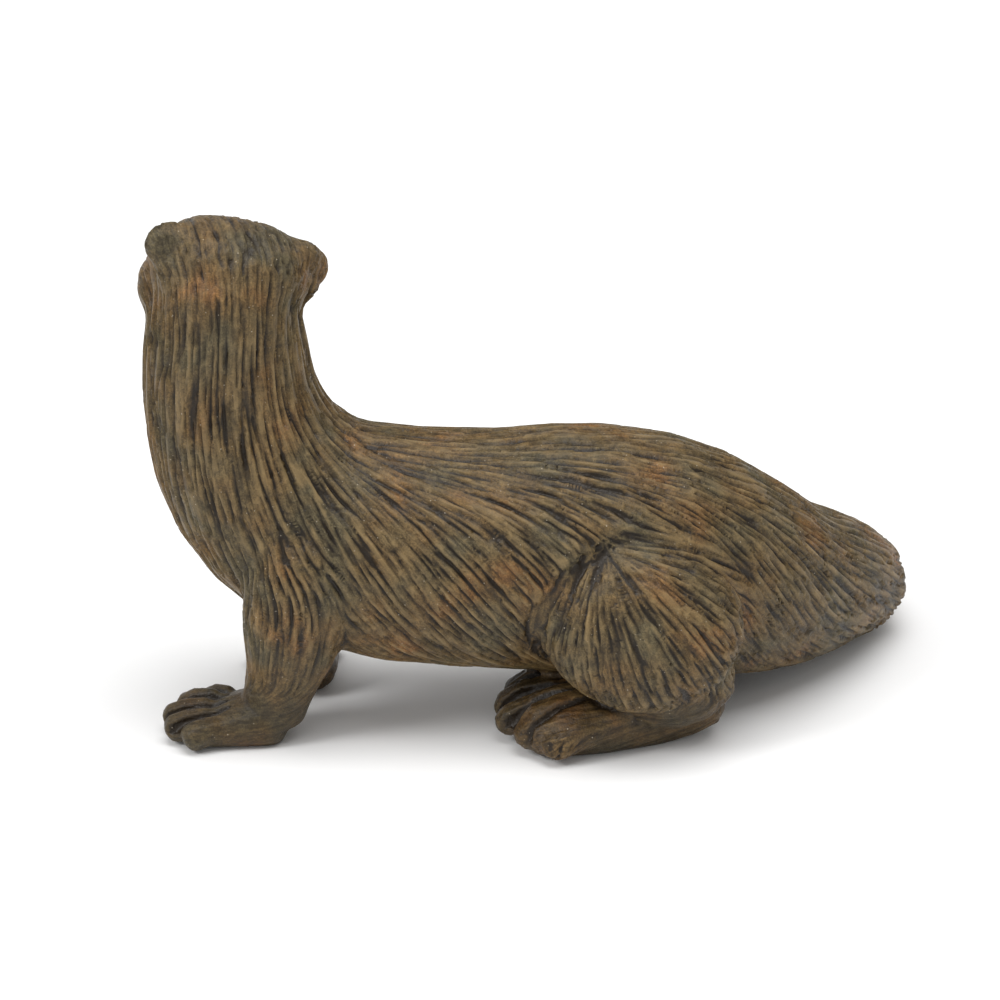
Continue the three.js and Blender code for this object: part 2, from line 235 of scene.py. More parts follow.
for name, (place, width, watts) in LAMPS.items():
    lamp_data = bpy.data.lights.new(name, "AREA")
    lamp_data.size = width
    lamp_data.energy = watts
    lamp = bpy.data.objects.new(name, lamp_data)
    lamp.location = place
    aim = VIEW_TARGET - Vector(place)
    lamp.rotation_euler = aim.to_track_quat("-Z", "Y").to_euler()
    bpy.context.scene.collection.objects.link(lamp)
print("lamps:", ", ".join(LAMPS))

# %% [markdown]
# ## One skin
#
# The real figure is one casting, so its surface runs from the head into the neck and from the
# haunch into the body without a seam. The frame parts it with cuts 0.3 mm wide. A copy of each
# piece is swollen a little so that the cuts close, and the copies are remeshed together as one
# fine net of voxels.

# %% Swell and join the pieces
SWELL = 0.2  # mm, more than half of a cut
VOXEL = 0.2  # mm, the side of one cell of the net
SAME_PLACE = 0.002  # mm, corners closer than this are one corner
BARE_PARTS = ("eye_left", "eye_right", "nose")
WEIGHT_LEVELS = 16  # a weight from 0 to 1 is rounded to one of these steps
FLESH = [name for name in frame["nodes"] if name not in BARE_PARTS]


def swollen(name):
    """A frame piece in millimetres, its loose triangles merged and its surface moved outwards."""
    copy = bmesh.new()
    copy.from_mesh(frame["nodes"][name].data)
    bmesh.ops.scale(copy, vec=(1 / MM,) * 3, verts=copy.verts)
    bmesh.ops.remove_doubles(copy, verts=copy.verts, dist=SAME_PLACE)
    copy.normal_update()
    for vertex in copy.verts:
        vertex.co += vertex.normal * SWELL
    data = bpy.data.meshes.new(name)
    copy.to_mesh(data)
    copy.free()
    return data


def modified(data, kind, weights=None, **settings):
    """What a modifier makes of a mesh. Weights, one per vertex, say where it acts."""
    holder = bpy.data.objects.new("holder", data)
    bpy.context.scene.collection.objects.link(holder)
    modifier = holder.modifiers.new(kind, kind)
    for key, value in settings.items():
        setattr(modifier, key, value)
    if weights is not None:
        modifier.vertex_group = "weights"
        group = holder.vertex_groups.new(name="weights")
        levels = np.rint(np.clip(weights, 0, 1) * WEIGHT_LEVELS).astype(int)
        for level in range(1, WEIGHT_LEVELS + 1):
            group.add(np.flatnonzero(levels == level).tolist(), level / WEIGHT_LEVELS, "REPLACE")
    seen = holder.evaluated_get(bpy.context.evaluated_depsgraph_get())
    result = bpy.data.meshes.new_from_object(seen)
    bpy.data.objects.remove(holder)
    return result


def rows_of(data, field):
    """A mesh's places ("co") or the way it faces ("vector") as rows of X, Y and Z."""
    source = data.vertices if field == "co" else data.vertex_normals
    flat = np.empty(len(data.vertices) * 3, np.float32)
    source.foreach_get(field, flat)
    return flat.reshape(-1, 3).astype(float)


def move_to(data, rows):
    """Moves a mesh's vertices to the places in the rows."""
    data.vertices.foreach_set("co", rows.astype(np.float32).ravel())
    data.update()


print("pieces of flesh:", len(FLESH))

# %% [markdown]
# ## Where the parts of the body are
#
# The head is turned over the right shoulder and tilted, so its features are placed in a frame
# of their own: X runs out through the nose, Y to the otter's left ear, Z up through the crown.
# Each of the feet has its toes, given by the lines from their roots to their tips seen from
# above, and each haunch is a leaning oval ball.

# %% Landmarks
HEAD_AT = Vector((-37.8, -12.4, 58.4))  # middle of the braincase, mm
HEAD_YAW, HEAD_NOD, HEAD_TILT = (math.radians(angle) for angle in (110, 5, 16))
head_frame = (
    Matrix.Translation(HEAD_AT)
    @ Matrix.Rotation(HEAD_YAW, 4, "Z")
    @ Matrix.Rotation(HEAD_NOD, 4, "Y")
    @ Matrix.Rotation(HEAD_TILT, 4, "X")
)
LEFT_TOES = {  # (root, tip) of each toe, X and Y in mm, outermost toe first
    "fore": [
        ((-38.4, -22.6), (-44.2, -24.6)),
        ((-39.0, -21.2), (-46.7, -21.6)),
        ((-39.2, -19.6), (-46.9, -18.6)),
        ((-38.8, -17.8), (-45.1, -15.6)),
        ((-37.8, -16.8), (-42.0, -14.0)),
    ],
    "hind": [
        ((11.5, -24.0), (0.9, -28.6)),
        ((6.7, -23.3), (-2.6, -25.1)),
        ((5.2, -21.3), (-4.9, -21.2)),
        ((4.8, -18.8), (-4.8, -17.4)),
        ((4.6, -16.5), (-3.6, -14.1)),
    ],
}
MID_PLANE = -13.2  # Y of the plane between left and right, mm
FORE_ANKLE = (-32.4, -20.0)
FORE_TURN_OUT = math.radians(84)  # of the right forefoot
RIGHT_SHIFT = {"fore": (2.7, 0.0), "hind": (5.0, 6.5)}
HAUNCH_HALF = (13.2, 7, 11.6)
HAUNCHES = {"left": (13.0, -24.6, 18), "right": (16.0, 2.7, 17.5)}
HAUNCH_LEAN = math.radians(16)
HAUNCH_PITCH = math.radians(14)


def middle(name):
    """The middle of a frame piece, in millimetres."""
    low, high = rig.box(name)
    return np.array(low + high) / 2 / MM


def in_head(rows):
    """Places in the head's own frame."""
    return (rows - np.array(HEAD_AT)) @ np.array(head_frame.to_3x3())


def on_right(which, xy):
    """The place on the right foot that answers to a place on the left foot, seen from above."""
    x, y = xy
    if which == "fore":
        x, y = x - FORE_ANKLE[0], y - FORE_ANKLE[1]
        cosine, sine = math.cos(FORE_TURN_OUT), math.sin(FORE_TURN_OUT)
        x, y = x * cosine - y * sine + FORE_ANKLE[0], x * sine + y * cosine + FORE_ANKLE[1]
    shift = RIGHT_SHIFT[which]
    return x + shift[0], 2 * MID_PLANE - y + shift[1]


toes = {("left", which): lines for which, lines in LEFT_TOES.items()}
for which, lines in LEFT_TOES.items():
    toes["right", which] = [tuple(on_right(which, end) for end in line) for line in lines]
eyes = {side: middle(f"eye_{side}") for side in ("left", "right")}
ears = {side: middle(f"ear_{side}") for side in ("left", "right")}
nose_tip = middle("nose")
print("eyes in the head's frame:", [in_head(place).round(1).tolist() for place in eyes.values()])
print("nose in the head's frame:", in_head(nose_tip).round(1).tolist())

# %% [markdown]
# ## Webs behind the ears, and the join
#
# On a real casting an ear grows out of the head with a web of skin above it and below it,
# because a notch there would tear in the mould. Two small balls beside each ear fill the
# notches. They go into the same remesh as the pieces, which melts them all into one.

# %% Join the pieces
WEBS = [((-0.3, -2.2, 0.8), 2.6), ((-0.2, -1.5, -2.6), 2.6)]  # from the ear's middle, radius
pieces = bmesh.new()
for name in FLESH:
    pieces.from_mesh(swollen(name))
for side, ear in ears.items():
    outwards = 1 if side == "left" else -1
    for (ahead, out, up), radius in WEBS:
        step = head_frame.to_3x3() @ Vector((ahead, out * outwards, up))
        place = Matrix.Translation(Vector(ear) + step)
        bmesh.ops.create_icosphere(pieces, subdivisions=4, radius=radius, matrix=place)
skin = bpy.data.meshes.new("joined")
pieces.to_mesh(skin)
pieces.free()
skin = modified(skin, "REMESH", mode="VOXEL", voxel_size=VOXEL)
print("remeshed skin:", len(skin.vertices), "vertices")

# %% [markdown]
# ## Measures of nearness
#
# Every choice below, of how much to smooth, how deep to cut and how dark to paint, depends on
# how near a point of the skin is to one of those places. A ramp turns a distance into a share
# from 0 to 1 with soft ends.

# %% Nearness
def unit(rows):
    """Each row made one long."""
    return rows / np.maximum(np.linalg.norm(rows, axis=-1, keepdims=True), 1e-9)


def ramp(value, start, end):
    """0 before start, 1 after end, and smooth between them."""
    share = np.clip((value - start) / (end - start), 0, 1)
    return share * share * (3 - 2 * share)


def apart(rows, place):
    """How far each row is from one place."""
    return np.linalg.norm(rows - np.asarray(place, float), axis=1)


def apart_from_line(rows, start, end):
    """How far each row is from a straight line between two places."""
    start, end = np.asarray(start, float), np.asarray(end, float)
    line = end - start
    share = np.clip((rows - start) @ line / (line @ line), 0, 1)
    return np.linalg.norm(rows - start - share[:, None] * line, axis=1)


def on_paws(rows):
    """1 on the four feet, where the hair stops and bare skin begins, and 0 elsewhere."""
    near = np.zeros(len(rows))
    for (side, which), lines in toes.items():
        start = np.mean([line[0] for line in lines], axis=0)
        end = np.mean([line[1] for line in lines], axis=0)
        heel = start + (start - end) * (0.7 if which == "fore" else 1.6)
        away = apart_from_line(rows[:, :2], heel, end)
        height = ramp(rows[:, 2], 10, 6.5) if which == "fore" else ramp(rows[:, 2], 9.5, 7)
        near = np.maximum(near, height * ramp(away, 9, 7.5))
    return near


def on_face(rows):
    """1 on the muzzle and round the eyes, and 0 from the cheeks back."""
    return ramp(in_head(rows)[:, 0], 4, 8) * ramp(rows[:, 2], 47, 49)


def on_ears(rows):
    """1 on the ears and 0 elsewhere."""
    return np.maximum(*(ramp(apart(rows, place), 4.2, 2.8) for place in ears.values()))


def haunch_reach(rows, side):
    """1 on the oval ball of a haunch, less inside it and more outside."""
    lean = HAUNCH_LEAN if side == "right" else -HAUNCH_LEAN
    turn = Matrix.Rotation(HAUNCH_PITCH, 3, "Y") @ Matrix.Rotation(lean, 3, "X")
    return np.linalg.norm((rows - HAUNCHES[side]) @ np.array(turn) / HAUNCH_HALF, axis=1)


# %% [markdown]
# ## Smoothing, more here and less there
#
# Many passes of smoothing melt away the flat facets and draw a fillet wherever a leg grows out
# of the body. A weight on every vertex holds them back on the toes, the face and the ears,
# which have small shapes to keep. Smoothing also thins the legs, so what it took away is
# smoothed in the same way and given back: only the facets stay lost. At the end the skin
# shrinks by what it was swollen.

# %% Smooth the skin
SMOOTH_PASSES = 400
CRISP_PASSES = 0.04  # of them, on the toes, the face and the ears

rows = rows_of(skin, "co")
crisp = np.maximum.reduce([on_paws(rows), on_face(rows), on_ears(rows)])
smoothing = {
    "kind": "SMOOTH",
    "weights": 1 - (1 - CRISP_PASSES) * crisp,
    "factor": 0.5,
    "iterations": SMOOTH_PASSES,
}
skin = modified(skin, **smoothing)
lost = skin.copy()
move_to(lost, rows - rows_of(skin, "co"))
move_to(skin, rows_of(skin, "co") + rows_of(modified(lost, **smoothing), "co"))
normals = rows_of(skin, "vector")
rows = rows_of(skin, "co") - SWELL * normals
print("smoothed skin in mm:", rows.min(0).round(1), rows.max(0).round(1))

# %% [markdown]
# ## Small shapes of the face and feet
#
# These are pressed into the skin, or raised from it, the way a loop tool works wax: each is a
# place or a line, a width, and a depth. The clefts part the toes. A ring of lid stands round
# each eye, the mouth runs back from under the nose, and the whisker pads carry rows of pits.

# %% Work the face and feet
CLEFT_DEPTH, CLEFT_WIDTH = 0.7, 0.4
CREASE_DEPTH = 0.5
EYE_RADIUS = 1.3
LID_RING, LID_WIDTH, LID_HEIGHT = 1.6, 0.36, 0.42
EYE_SINK = 0.25  # how far the ball is set back behind its place in the frame
MOUTH = [(18.4, -4.7), (15.6, -5.1), (12.8, -5.3), (10.2, -4.7), (8.4, -3.6)]  # X, Z in the head
MOUTH_DEPTH, MOUTH_WIDTH = 0.55, 0.34
PITS = [(12.2 + 1.05 * column, -1.5 - 0.85 * row) for row in range(3) for column in range(4)]
PIT_DEPTH, PIT_WIDTH = 0.22, 0.3


def dent(away, width):
    """1 in the middle of a tool's track and 0 well outside it."""
    return np.exp(-((away / width) ** 2))


paws = on_paws(rows)
inwards = np.zeros(len(rows))
wash_and_shade_tracks = np.zeros(len(rows))  # where the tool has been, darkened by the wash and by painted shade in the creases
for lines in toes.values():
    for (root_a, tip_a), (root_b, tip_b) in zip(lines, lines[1:]):
        root = (np.array(root_a) + root_b) / 2
        tip = (np.array(tip_a) + tip_b) / 2 + (np.array(tip_a) - root_a) * 0.12
        away = apart_from_line(rows[:, :2], root, tip)
        cleft = dent(away, CLEFT_WIDTH) * paws * ramp(normals[:, 2], -0.5, 0.2)
        inwards += CLEFT_DEPTH * cleft
        wash_and_shade_tracks = np.maximum(wash_and_shade_tracks, cleft)
for side in HAUNCHES:
    reach = haunch_reach(rows, side)
    ahead = ramp(rows[:, 0], HAUNCHES[side][0] + 2, HAUNCHES[side][0] - 7)
    crease = dent(reach - 1.05, 0.045) * ahead * ramp(rows[:, 2], 5, 8)
    inwards += CREASE_DEPTH * crease
    wash_and_shade_tracks = np.maximum(wash_and_shade_tracks, 0.8 * crease)

local = in_head(rows)
front = ramp(local[:, 0], 6, 8)
for side, place in eyes.items():
    facing = unit(normals[apart(rows, place) < LID_RING].mean(0))
    eyes[side] = place = place - EYE_SINK * facing
    ring = np.abs(apart(rows, place) - LID_RING)
    inwards -= LID_HEIGHT * dent(ring, LID_WIDTH)
    wash_and_shade_tracks = np.maximum(wash_and_shade_tracks, dent(apart(rows, place) - EYE_RADIUS, 0.3))
for (x_a, z_a), (x_b, z_b) in zip(MOUTH, MOUTH[1:]):
    away = apart_from_line(local[:, (0, 2)], (x_a, z_a), (x_b, z_b))
    lips = dent(away, MOUTH_WIDTH) * front
    inwards = np.maximum(inwards, MOUTH_DEPTH * lips)
    wash_and_shade_tracks = np.maximum(wash_and_shade_tracks, lips)
philtrum = dent(apart_from_line(local, (17.9, 0, -1.5), (17.6, 0, -4.6)), 0.45)
inwards = np.maximum(inwards, 0.4 * philtrum)
wash_and_shade_tracks = np.maximum(wash_and_shade_tracks, philtrum)
for x, z in PITS:
    pit = dent(np.hypot(local[:, 0] - x, local[:, 2] - z), PIT_WIDTH)
    pit *= front * ramp(np.abs(local[:, 1]), 1.5, 2.2)
    inwards += PIT_DEPTH * pit
    wash_and_shade_tracks = np.maximum(wash_and_shade_tracks, 0.7 * pit)
rows = rows - normals * inwards[:, None]
rows[:, 2] = np.maximum(rows[:, 2], 0)
move_to(skin, rows)
normals = rows_of(skin, "vector")
print("deepest tool mark in mm:", round(float(inwards.max()), 2))

# %% Find the hollows
# A hollow is a place that more smoothing would fill: the ears' bowls, the clefts, the folds. Hollows are painted
# darker, as painted shade.
HOLLOW_PASSES = 60
HOLLOW_DEPTH = 0.35
filled = rows_of(modified(skin.copy(), "SMOOTH", factor=0.5, iterations=HOLLOW_PASSES), "co")
hollow_shade = np.clip(((filled - rows) * normals).sum(1) / HOLLOW_DEPTH, 0, 1)
print("share of the skin in hollows:", round(float(hollow_shade.mean()), 3))

# %% [markdown]
# ## The way the coat lies
#
# On an otter the hair runs from the nose to the tail. On the back it follows the spine, and on
# the flanks it slants down towards the belly. It runs straight down the neck and the forelegs,
# and on each thigh it fans out from a whorl at the top of the haunch. Here the lie is worked
# out from a line through the middle of the body, with the slant of the hair at each station,
# and three kinds of places that override it.

# %% The lie of the coat
SPINE = [  # x, y, z in mm, and how far the hair on the side slants from the spine, degrees
    (-43.6, 3.5, 54.5, 0),
    (-40.7, -4.5, 57, 0),
    (-37.8, -12.4, 58.5, 0),
    (-38.0, -14, 53, 2),
    (-38.3, -13.2, 47, 3),
    (-37.5, -13.2, 42, 5),
    (-34.5, -13.2, 34, 14),
    (-27.9, -13.2, 27.4, 32),
    (-18.0, -13.2, 24, 45),
    (-7.0, -13.2, 23.1, 50),
    (4.5, -12.7, 23, 48),
    (14.5, -10.6, 21.4, 42),
    (23.5, -5.8, 17, 30),
    (31.5, 0.6, 12.6, 22),
    (38.4, 7.4, 9.8, 16),
    (42.9, 14.2, 6.5, 8),
    (40.6, 21.2, 5.6, 0),
    (34.0, 25.6, 4.9, 0),
    (26.0, 27.6, 4.1, 0),
    (18.0, 28, 3.2, 0),
    (10.5, 27.2, 2.4, 0),
    (4.5, 25.4, 1.7, 0),
]
WHORLS = {"left": (8, -26, 29.5), "right": (11.3, 4, 29)}
SHOULDERS = {"left": (-29, -22, 24), "right": (-27, -4, 24)}
WRISTS = {"left": (-32.5, -20, 5), "right": (-30.5, -6.4, 5)}


def smooth_line(stations, steps=8):
    """Points on a Catmull-Rom curve through the stations."""
    p = np.array(stations, float)
    p = np.vstack([2 * p[0] - p[1], p, 2 * p[-1] - p[-2]])
    t = (np.arange(steps) / steps)[:, None]
    spans = [
        b
        + (c - a) / 2 * t
        + (a - 2.5 * b + 2 * c - d / 2) * t**2
        + (1.5 * (b - c) + (d - a) / 2) * t**3
        for a, b, c, d in zip(p, p[1:], p[2:], p[3:])
    ]
    return np.vstack([*spans, p[-2:-1]])


spine = smooth_line(SPINE)
spine_ahead = unit(np.gradient(spine[:, :3], axis=0))
spine_left = unit(np.cross(spine_ahead, (0, 0, 1)) + np.array((0, -0.3, 0)))
spine_left = unit(spine_left - (spine_left * spine_ahead).sum(1, keepdims=True) * spine_ahead)
spine_back = np.cross(spine_left, spine_ahead)


def lie_of_coat(rows):
    """The way the hair points at each place, as a unit vector."""
    line = spine[:, :3]
    gap = (rows**2).sum(1)[:, None] + (line**2).sum(1) - 2 * rows @ line.T
    weights = (gap + 1) ** -4.0
    weights /= weights.sum(1, keepdims=True)
    ahead, left, back = (unit(weights @ way) for way in (spine_ahead, spine_left, spine_back))
    from_line = rows - weights @ line
    across = (from_line * left).sum(1)
    round_by = np.abs(np.arctan2(across, (from_line * back).sum(1)))  # 0 on the back, pi below
    down = left * np.sign(across)[:, None] * np.cos(round_by)[:, None]
    down = down - back * np.sin(round_by)[:, None]
    slant = np.radians(weights @ spine[:, 3])
    slant = slant * ramp(round_by, 0.1, 1.5) * ramp(round_by, 3.1, 2.2)
    lie = ahead * np.cos(slant)[:, None] + down * np.sin(slant)[:, None]

    def lean(lie, way, share):
        return unit(lie * (1 - share[:, None]) + way * share[:, None])

    for side in ("left", "right"):
        fan = unit(rows - np.array(WHORLS[side]))
        lie = lean(lie, fan, ramp(haunch_reach(rows, side), 1.14, 1.04))
        bone = unit(np.array(WRISTS[side], float) - SHOULDERS[side])
        away = apart_from_line(rows, SHOULDERS[side], WRISTS[side])
        lie = lean(lie, bone, ramp(away, 9, 6.5) * ramp(rows[:, 2], 26, 18))
    paws = on_paws(rows)
    for lines in toes.values():
        root, tip = (np.mean([line[end] for line in lines], axis=0) for end in (0, 1))
        way = np.append(unit(tip - root), -0.15)
        away = np.linalg.norm(rows[:, :2] - root, axis=1)
        lie = lean(lie, way, paws * ramp(away, 18, 15))
    return lie


print("spine:", len(spine), "points")

# %% [markdown]
# ## Hair cut into the master
#
# The sculptor drew long grooves with a wire tool, side by side, each starting and ending a
# little past its neighbour. The same pattern comes from smearing random values along the lie
# of the coat: the value is nearly constant along a hair and changes quickly across it, and
# where it is low lies a groove. The random values sit on the corners of a turned lattice and
# are read smoothly between them. A wide set makes the main locks, about 1 mm from groove to
# groove, a fine set the hairs inside them, and a slow set the swell of whole tufts.

# %% Noise and smearing
SEED = 11
LATTICE_TURN = np.array(Euler((0.5, 0.3, 0.9)).to_matrix())
LIE_PITCH = 1.5  # mm between the places where the lie is worked out
STRIDE = 0.42  # mm per step along a hair
NOISES = {"lock": (0.38, 4.2), "hair": (0.27, 3.0), "tuft": (1.9, 5.5)}  # cell and reach, mm
EVEN_NOISES = ("lock", "hair")  # without their slow changes, so that the grooves are evenly spaced


class Lattice:
    """Values on the corners of a turned lattice of cubes, read smoothly between them."""

    def __init__(self, box, pitch, turn):
        ends = np.array([[x, y, z] for x in box[:, 0] for y in box[:, 1] for z in box[:, 2]]) @ turn
        self.turn = turn
        self.pitch = pitch
        self.start = ends.min(0) - 3 * pitch
        self.counts = np.ceil((ends.max(0) + 3 * pitch - self.start) / pitch).astype(int) + 1
        self.values = None

    def corners(self):
        axes = [self.start[k] + self.pitch * np.arange(self.counts[k]) for k in range(3)]
        grid = np.stack(np.meshgrid(*axes, indexing="ij"), axis=-1)
        return grid.reshape(-1, 3) @ self.turn.T

    def read(self, rows):
        place = (rows @ self.turn - self.start) / self.pitch
        place = np.clip(place, 0, self.counts - 1.001)
        cell = place.astype(np.int32)
        share = (place - cell).astype(np.float32)
        first = (cell[:, 0] * self.counts[1] + cell[:, 1]) * self.counts[2] + cell[:, 2]
        total = 0
        for corner in range(8):
            i, j, k = corner >> 2, corner >> 1 & 1, corner & 1
            value = self.values[first + (i * self.counts[1] + j) * self.counts[2] + k]
            sides = [share[:, a] if b else 1 - share[:, a] for a, b in enumerate((i, j, k))]
            part = np.prod(sides, axis=0)
            total = total + (value * part[:, None] if value.ndim > 1 else value * part)
        return total


box = np.array([rows.min(0), rows.max(0)])
lie_lattice = Lattice(box, LIE_PITCH, np.eye(3))
lie_lattice.values = lie_of_coat(lie_lattice.corners()).astype(np.float32)
random = np.random.default_rng(SEED)
noises = {}
for name, (cell, reach) in NOISES.items():
    noises[name] = Lattice(box, cell, LATTICE_TURN)
    values = random.standard_normal(noises[name].counts).astype(np.float32)
    if name in EVEN_NOISES:
        slow = values
        for axis in range(3):
            slow = (np.roll(slow, 1, axis) + slow + np.roll(slow, -1, axis)) / 3
        values = values - slow
    noises[name].values = values.ravel()


def flat_lie(rows, normals):
    """The lie of the coat at each place, laid flat on a surface that faces along the normals."""
    lie = lie_lattice.read(rows)
    return unit(lie - (lie * normals).sum(1, keepdims=True) * normals)


def smeared(rows, normals):
    """Each noise, averaged along the hair through each place, with a spread of one."""
    sums = {name: noise.read(rows) for name, noise in noises.items()}
    longest = max(reach for _, reach in NOISES.values())
    for sense in (1, -1):
        at = rows
        for step in range(1, int(longest / STRIDE) + 1):
            at = at + sense * STRIDE * flat_lie(at, normals)
            for name, (_, reach) in NOISES.items():
                if step * STRIDE < reach:
                    fade = math.cos(math.pi / 2 * step * STRIDE / reach)
                    sums[name] = sums[name] + fade * noises[name].read(at)
    return {name: total / total.std() for name, total in sums.items()}


smear = smeared(rows, normals)
print("smeared noises:", ", ".join(smear))

# %% [markdown]
# ## From noise to grooves
#
# A groove lies where the smeared noise is low. The grooves are shallower on the feet, the
# ears, the crown, the forelegs and the muzzle, fade out at the lids and the nose, and only cut
# inwards, so the figure keeps the size of its frame.

# %% Cut the hair
NECK_GROOVE = 0.7  # mm deep
BODY_GROOVE = 0.58
TUFT_SWELL = 0.2  # mm, how far the low places between tufts sink
RUBBED_PLACE = (29.5, -12, 12.5)  # where the hair on the left of the rump is shallow, mm
PAW_COAT = 0.22  # how deep the wrinkles of the feet are, beside the grooves of the coat
SHALLOWER = {"ears": 0.5, "crown": 0.35, "forelegs": 0.45, "face": 0.7, "rubbed": 0.55}

neck = ramp(rows[:, 2], 30, 42) * ramp(rows[:, 0], -20, -27)
crest = 0.55 * smear["lock"] + 0.62 * smear["hair"]
crest += neck * (0.25 * smear["lock"] - 0.25 * smear["hair"])
groove = np.clip((0.35 - crest) / 1.7, 0, 1) ** 0.9
tuft = 0.5 - 0.5 * np.tanh(smear["tuft"])

coat = 1 - (1 - PAW_COAT) * on_paws(rows)
coat *= 1 - SHALLOWER["ears"] * on_ears(rows)
coat *= 1 - SHALLOWER["crown"] * ramp(rows[:, 2], 53, 58)
coat *= 1 - SHALLOWER["forelegs"] * ramp(rows[:, 2], 21, 11) * ramp(rows[:, 0], -18, -23)
coat *= 1 - SHALLOWER["face"] * on_face(rows)
for place in eyes.values():
    coat *= ramp(apart(rows, place), 1.8, 3.4)
coat *= ramp(apart(rows, nose_tip), 2.4, 4.5)
coat *= 1 - SHALLOWER["rubbed"] * ramp(apart(rows, RUBBED_PLACE), 8, 3)
coat *= ramp(rows[:, 2], 0.05, 1.2)
depth = BODY_GROOVE + (NECK_GROOVE - BODY_GROOVE) * neck
uncut = rows  # the smooth shape, for the baking map
rows = rows - normals * (coat * (depth * groove + TUFT_SWELL * tuft))[:, None]
rows[:, 2] = np.maximum(rows[:, 2], 0)
move_to(skin, rows)
print("mean depth of the hair in mm:", round(float((coat * depth * groove).mean()), 2))

# %% [markdown]
# ## A lighter net
# The decimate modifier merges points where the surface is nearly flat and keeps them across
# the grooves, so long thin triangles end up lying along the hair. What the paint needs to know
# is then read back from the fine net: how much dark wash and painted shade each point holds.
# For streaks finer than the net, every small patch of skin also gets a flat map whose U runs
# across the hair and whose V runs along it, in millimetres.

# %% Lighten the skin
MOST_TRIANGLES = 196_000
PAW_WASH = 0.45  # the feet are darker all over
PATCHES = 2600
FAR_OFFSET = 100  # mm, how far apart the patches may lie on the hair map

# How dark to paint: the real wash and the darker feet, plus painted shade in the grooves, creases, clefts and hollows;
# below zero on the crests
wash = 1.1 * wash_and_shade_tracks + 0.8 * hollow_shade + PAW_WASH * on_paws(rows) - coat * crest
fine_net = KDTree(len(rows))
for index, place in enumerate(rows):
    fine_net.insert(place, index)
fine_net.balance()
ratio = MOST_TRIANGLES / (2 * len(skin.polygons))
kept = ramp(in_head(rows)[:, 0], 11, 12.5) * ramp(rows[:, 2], 47, 49)
for place in eyes.values():
    kept = np.maximum(kept, ramp(apart(rows, place), 3.2, 2.4))
skin = modified(skin, "DECIMATE", 1 - kept, ratio=ratio, use_collapse_triangulate=True)
skin.name = "skin"
rows = rows_of(skin, "co")
nearest = np.array([fine_net.find(place)[1] for place in rows])
normals = normals[nearest]
held = skin.attributes.new("wash", "FLOAT", "POINT")
held.data.foreach_set("value", wash[nearest].astype(np.float32))

anchors = random.choice(len(rows), PATCHES, replace=False)
along = flat_lie(rows[anchors], normals[anchors])
across = np.cross(normals[anchors], along)
offsets = random.uniform(0, FAR_OFFSET, (PATCHES, 2))
patch_tree = KDTree(PATCHES)
for index, anchor in enumerate(anchors):
    patch_tree.insert(rows[anchor], index)
patch_tree.balance()
corners = np.empty(len(skin.loops), np.int32)
skin.loops.foreach_get("vertex_index", corners)
corners = corners.reshape(-1, 3)
centres = rows[corners].mean(1)
patch = np.array([patch_tree.find(place)[1] for place in centres])
from_anchor = rows[corners] - rows[anchors[patch]][:, None, :]
hair_map = np.stack(
    [(from_anchor * way[patch][:, None, :]).sum(2) for way in (across, along)], axis=-1
)
hair_map = hair_map + offsets[patch][:, None, :]
layer = skin.uv_layers.new(name="HairMap")
layer.data.foreach_set("uv", hair_map.astype(np.float32).ravel())
print("patches of the hair map:", PATCHES)

# %% [markdown]
# ## A second map, for baking
#
# Other programs read the paint as pictures, through a flat map of the whole skin. Cut hair
# would break such a map into thousands of scraps, so it is laid out on the smooth shape, with
# the net moved back to where it lay before the hair was cut, and the net then returns.

# %% Lay out the baking map
CHART_ANGLE = math.radians(66)
CHART_GAP = 0.002

otter = bpy.data.objects.new("skin", skin)
bpy.context.scene.collection.objects.link(otter)
move_to(skin, uncut[nearest])
skin.uv_layers.active = skin.uv_layers.new(name="OFBake")
bpy.context.view_layer.objects.active = otter
otter.select_set(True)
bpy.ops.object.mode_set(mode="EDIT")
bpy.ops.mesh.select_all(action="SELECT")
bpy.ops.uv.smart_project(angle_limit=CHART_ANGLE, island_margin=CHART_GAP)
bpy.ops.object.mode_set(mode="OBJECT")
otter.select_set(False)
move_to(skin, rows * MM)
skin.shade_smooth()
print("skin:", len(skin.polygons), "triangles, maps:", ", ".join(skin.uv_layers.keys()))

# %% [markdown]
# ## Paint: satin brown on soft vinyl
#
# The vinyl is sprayed a mid brown and then darkened with a thin wash, which runs into the
# grooves and dries there nearly black; the same dark paint, in the grooves, clefts, creases and
# hollows, is also painted shade. A dry brush leaves a little tan on the crests. Here and there
# the brown is redder or greyer, and grains of dust show as pale specks. The wash and painted
# shade follow the value stored in the skin, so they lie exactly where the shape is deep, and
# pool with a little more gloss than the rest.

# %% Paint of the coat
VINYL_IOR = 1.5
PATCH_SIZE = 7 * MM  # from one warm patch of paint to the next
MOTTLE_SIZE = 0.9 * MM
GRIT_SIZE = 0.2 * MM  # the sprayed paint dries with a sandy grain
HAIR_PITCH = 0.36  # mm, the finest hairs inside one lock, in the map's own units
HAIR_REACH = 3.5
SPECK_GAP = 0.8 * MM
SPECK_SIZE = 0.13  # of the gap
SPECK_MOST = 0.8  # how far a speck covers what is under it
BRUSHED_MOST = 0.6  # and the dry brush on the highest crests
WASH_AND_SHADE_MOST = 0.94  # and the wash with painted shade in the deepest grooves
DRY_ROUGHNESS, WASH_ROUGHNESS = 0.48, 0.36


def add(tree, kind, settings=None, links=None):
    """Adds a node. Settings are its own, links are values or sockets for its inputs."""
    node = tree.nodes.new("ShaderNode" + kind)
    for key, value in (settings or {}).items():
        setattr(node, key, value)
    for key, source in (links or {}).items():
        if isinstance(source, bpy.types.NodeSocket):
            tree.links.new(source, node.inputs[key])
        else:
            node.inputs[key].default_value = source
    return node


